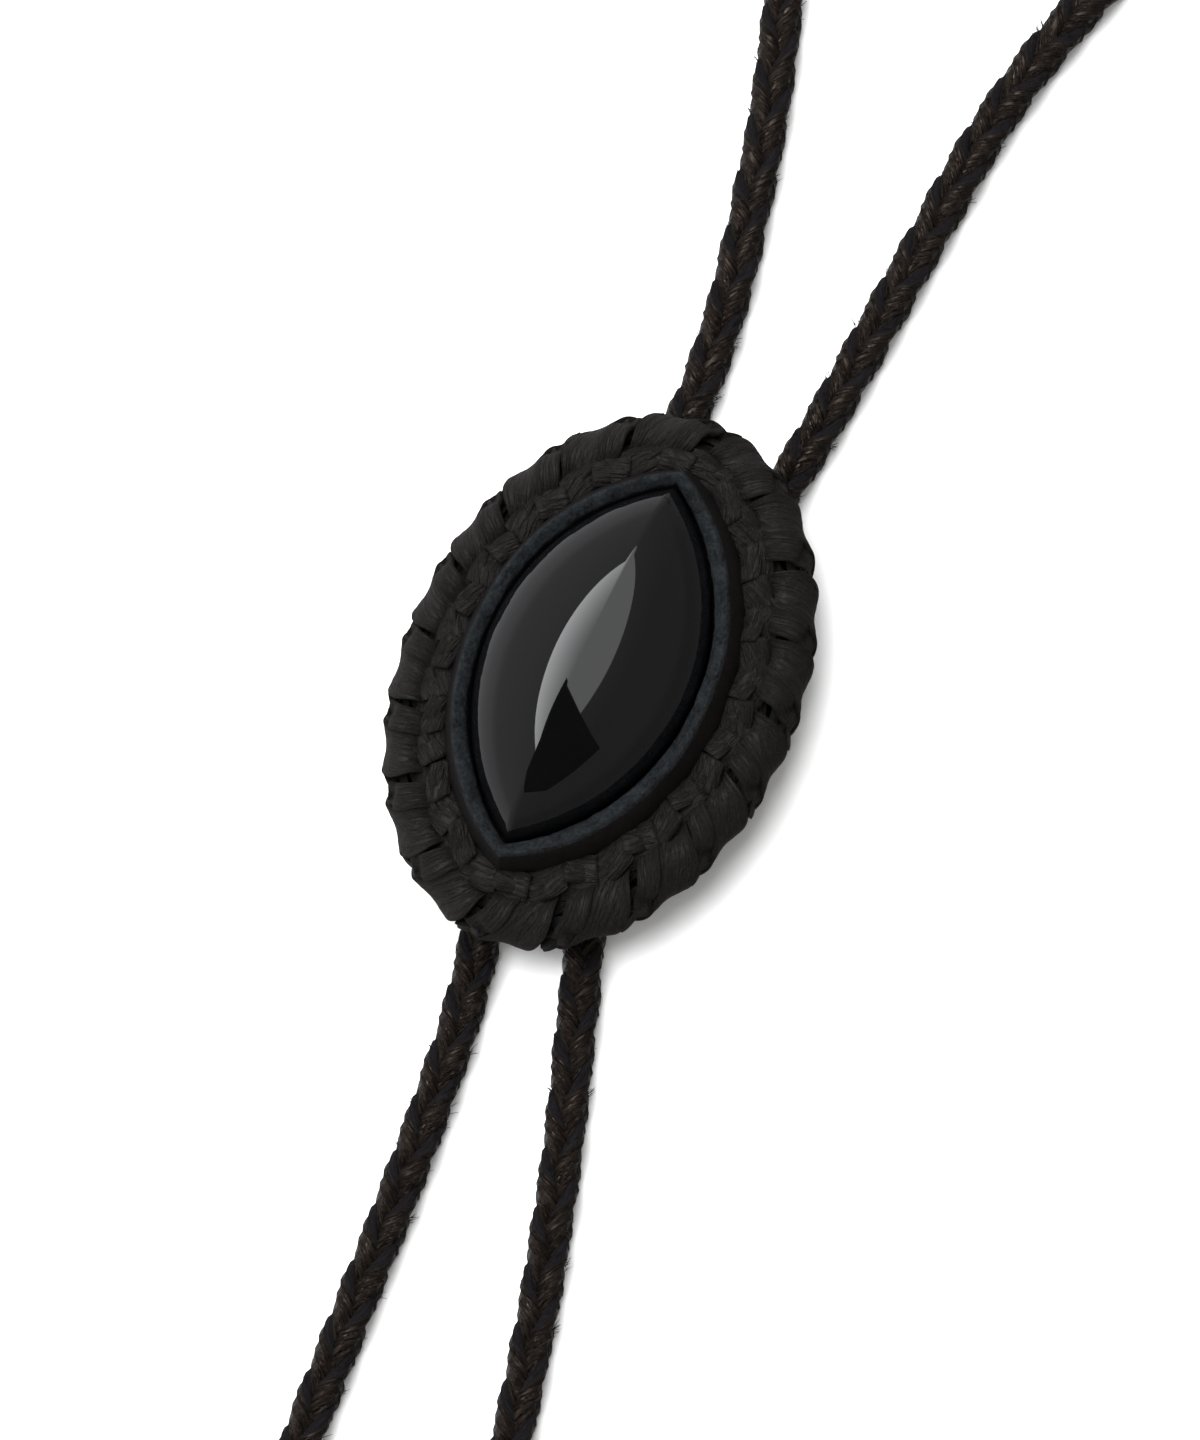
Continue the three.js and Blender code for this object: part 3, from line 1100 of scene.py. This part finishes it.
class BOLO_OT_bezel(bpy.types.Operator):
    """Makes the leather strap that holds the stone, with its raw upper edge"""

    bl_idname = "bolo.bezel"
    bl_label = "Bezel"

    def execute(self, context):
        settings = context.scene.bolo_slide
        rows = BEZEL_ROWS + BEZEL_ROWS[:1]
        line = rounded_route([(s * MEAN_WIDTH, z, rough) for s, z, rough in rows], ROW_PARTS)
        section = [(p.x / MM / MEAN_WIDTH, p.y / MM, max(p.z / MM, 0.0)) for p in line]
        count = len(section) - 1

        def place(u, v):
            share, z, rough = section[min(round(v * count), count)]
            flat = slide_point(share, u, z)
            spot = flat * (1 / MM)
            crumbs = noise.fractal(spot * 1.1, 0.8, 2.2, 4)
            waves = noise.noise(spot * 0.22 + Vector((7, 3, 1)))
            share += 0.012 * rough * crumbs + 0.012 * waves * smooth(11, 14, z)
            z += 0.16 * rough * crumbs + 0.12 * waves * smooth(12, 15, z)
            return slide_point(share, u, z)

        mesh = bmesh.new()
        ring(mesh, 480, count, place, uv_size=(RIM_LENGTH, 1.0))
        made = piece(
            "bezel_strap",
            mesh,
            [plain_leather("bezel_leather", settings), raw_edge_leather(settings)],
            "slide_leather",
            "bezel",
        )
        uv = made.data.uv_layers[0]
        first_raw = (FIRST_RAW_ROW * ROW_PARTS - 1) / count
        last_raw = LAST_RAW_ROW * ROW_PARTS / count
        for polygon in made.data.polygons:
            middle = sum(uv.data[i].uv[1] for i in polygon.loop_indices) / polygon.loop_total
            polygon.material_index = 1 if first_raw < middle < last_raw else 0
        return {"FINISHED"}


BRAID_STRAP = ((0.365, 9.8), (0.70, 9.8), (0.70, 10.3), (0.55, 11.2), (0.45, 11.6), (0.365, 11.4))


class BOLO_OT_inner_braid(bpy.types.Operator):
    """Plaits the flat braid between the bezel and the laced rim"""

    bl_idname = "bolo.inner_braid"
    bl_label = "Inner braid"

    def execute(self, context):
        settings = context.scene.bolo_slide
        leather = slide_lace_leather(settings)
        mesh = bmesh.new()
        draw = random.Random(SEED + 1)
        units = settings.wraps
        seam = 2.15  # distance down the profile where the two columns meet
        for i in range(units):
            for side in (-1, 1):
                start = (i + (0.5 if side < 0 else 0.0) + draw.uniform(-0.04, 0.04)) / units
                long = (1.5 + draw.uniform(-0.05, 0.05)) / units
                spread = 2.9 if side > 0 else 2.2
                wide = 1.62 * draw.uniform(0.94, 1.06)

                def path(u, start=start, long=long, side=side, spread=spread):
                    return start + long * u, seam + side * (spread * u - 0.75)

                def half_width(u, wide=wide):
                    return wide * mix(0.86, 1.0, smooth(0.0, 0.35, u))

                def lift(u, across, distance):
                    ends = -0.75 * (1 - smooth(0.0, 0.42, u)) - 0.8 * smooth(0.66, 1.0, u)
                    return 0.22 + ends - 0.3 * across * across + 0.24 * across

                slide_lace(
                    mesh, BRAID_PROFILE, path, half_width, 0.45, 22, 12, lift, uv_start=draw.uniform(0, 400)
                )
        under_strap(mesh, BRAID_STRAP)
        lace_piece("inner_braid_laces", mesh, leather, "lace_leather", "inner_braid")
        return {"FINISHED"}


# The dark strap that the wraps are laced over.
RIM_STRAP = (
    (0.31, 6.6),
    (0.31, 5.9),
    (0.70, 6.0),
    (0.85, 7.0),
    (0.90, 9.3),
    (0.85, 11.0),
    (0.76, 11.6),
    (0.76, 11.2),
    (0.76, 6.8),
    (0.70, 6.8),
)
RIM = 6.5  # distance down the rim's profile where it stands out furthest
LACE_LEAN = 0.8  # how far a lace goes round the slide for each millimetre that it goes down


class BOLO_OT_edge_lacing(bpy.types.Operator):
    """Laces the slide's rim"""

    bl_idname = "bolo.edge_lacing"
    bl_label = "Edge lacing"

    def execute(self, context):
        settings = context.scene.bolo_slide
        leather = slide_lace_leather(settings)
        mesh = bmesh.new()
        draw = random.Random(SEED + 2)
        unit = 1.0 / settings.wraps
        for i in range(settings.wraps):
            start = (i + draw.uniform(-0.06, 0.06)) * unit
            self.wrap(mesh, start, draw)
            self.strip(mesh, start, unit, draw)
            self.rim_lace(mesh, start, unit, draw)
        under_strap(mesh, RIM_STRAP)
        lace_piece("edge_lacing_laces", mesh, leather, "lace_leather", "edge_lacing")
        return {"FINISHED"}

    def wrap(self, mesh, start, draw):
        """The broad lace that leans over the rim and goes on underneath."""
        seed = draw.uniform(0, 50)
        wide = 2.15 * draw.uniform(0.95, 1.05)

        def path(u):
            distance = mix(0.9, RIM_PROFILE.length - 0.5, u)
            return start + distance * LACE_LEAN / RIM_LENGTH, distance

        def half_width(u):
            return wide * mix(0.6, 1.0, smooth(0.0, 0.24, u))

        def lift(u, across, distance):
            sink = -0.9 * (1 - smooth(0.9, 2.2, distance))
            sink -= 0.6 * math.exp(-(((distance - RIM) / 2.4) ** 2))
            return 0.45 + sink - 0.7 * across * across - 0.5 * smooth(0.85, 1.0, u)

        def relief(u, across):
            gather = (1 - smooth(0.06, 0.30, u)) * 0.3
            folds = math.sin(across * 9 + noise.noise(Vector((u * 6, seed, 0))) * 3.0)
            waves = noise.noise(Vector((u * 9, across * 1.6, seed))) * 0.18
            return gather * folds + waves

        start_of_uv = draw.uniform(0, 400)
        slide_lace(mesh, RIM_PROFILE, path, half_width, 0.55, 44, 24, lift, start_of_uv, relief)

    def strip(self, mesh, start, unit, draw):
        """The narrow crinkled lace beside each wrap, ending in a small knob by the rim."""
        seed = draw.uniform(0, 50)
        offset = 0.49 * unit

        def path(u):
            distance = mix(0.8, 5.6, u)
            return start + offset + distance * LACE_LEAN / RIM_LENGTH, distance

        def half_width(u):
            return 1.2

        def lift(u, across, distance):
            knob = 0.35 * math.exp(-(((u - 0.86) / 0.09) ** 2))
            return -0.4 - 0.5 * (1 - smooth(0.0, 0.15, u)) + knob - 0.25 * across * across

        def relief(u, across):
            bend = across * 0.5 + noise.noise(Vector((u * 4, across, seed))) * 1.4
            fade = 1 - smooth(0.68, 0.8, u)
            uneven = 1 + 0.5 * noise.noise(Vector((u * 11, 3, seed)))
            return 0.2 * math.sin(u * 46 + bend) * fade * uneven

        start_of_uv = draw.uniform(0, 400)
        slide_lace(mesh, RIM_PROFILE, path, half_width, 0.45, 56, 12, lift, start_of_uv, relief)

    def rim_lace(self, mesh, start, unit, draw):
        """The lace that runs along the rim under the ends of the wraps."""

        def path(u):
            return start + unit * mix(0.95, 2.3, u), 6.1 + 0.9 * u

        def half_width(u):
            return 1.3 * mix(0.7, 1.0, math.sin(math.pi * u) ** 0.5)

        def lift(u, across, distance):
            ends = 0.7 * (1 - smooth(0.0, 0.22, u)) + 0.8 * smooth(0.75, 1.0, u)
            return 0.3 - ends - 0.35 * across * across

        slide_lace(mesh, RIM_PROFILE, path, half_width, 0.45, 24, 12, lift, uv_start=draw.uniform(0, 400))


class BOLO_OT_underside(bpy.types.Operator):
    """Gives the backing and the cord keeper their leather"""

    bl_idname = "bolo.underside"
    bl_label = "Underside"

    def execute(self, context):
        settings = context.scene.bolo_slide
        leather = plain_leather("underside_leather", settings, roughness=0.7)
        for name in ("backing", "cord_keeper"):
            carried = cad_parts[name]
            carried.data.materials.clear()
            carried.data.materials.append(leather)
        return {"FINISHED"}


class BOLO_PT_sidebar(bpy.types.Panel):
    """Lists the steps that make the bolo tie"""

    bl_idname = "BOLO_PT_sidebar"
    bl_label = "Bolo Tie"
    bl_space_type = "VIEW_3D"
    bl_region_type = "UI"
    bl_category = "Bolo Tie"

    def draw(self, context):
        for step in STEPS:
            self.layout.operator(step.bl_idname)
        for group in GROUPS:
            settings = getattr(context.scene, group)
            box = self.layout.box()
            for name in settings.__annotations__:
                box.prop(settings, name)


STEPS = (
    BOLO_OT_stage,
    BOLO_OT_cord,
    BOLO_OT_stone,
    BOLO_OT_bezel,
    BOLO_OT_inner_braid,
    BOLO_OT_edge_lacing,
    BOLO_OT_underside,
)
GROUPS = {
    "bolo_stage": StageSettings,
    "bolo_cord": CordSettings,
    "bolo_slide": SlideSettings,
    "bolo_stone": StoneSettings,
}
CLASSES = (*GROUPS.values(), *STEPS, BOLO_PT_sidebar)


def register():
    for made in CLASSES:
        bpy.utils.register_class(made)
    for name, group in GROUPS.items():
        setattr(bpy.types.Scene, name, PointerProperty(type=group))


def unregister():
    for name in GROUPS:
        delattr(bpy.types.Scene, name)
    for made in reversed(CLASSES):
        bpy.utils.unregister_class(made)


def main():
    register()
    bpy.ops.bolo.stage()
    bpy.ops.bolo.cord()
    bpy.ops.bolo.stone()
    bpy.ops.bolo.bezel()
    bpy.ops.bolo.inner_braid()
    bpy.ops.bolo.edge_lacing()
    bpy.ops.bolo.underside()


if __name__ == "__main__":
    main()
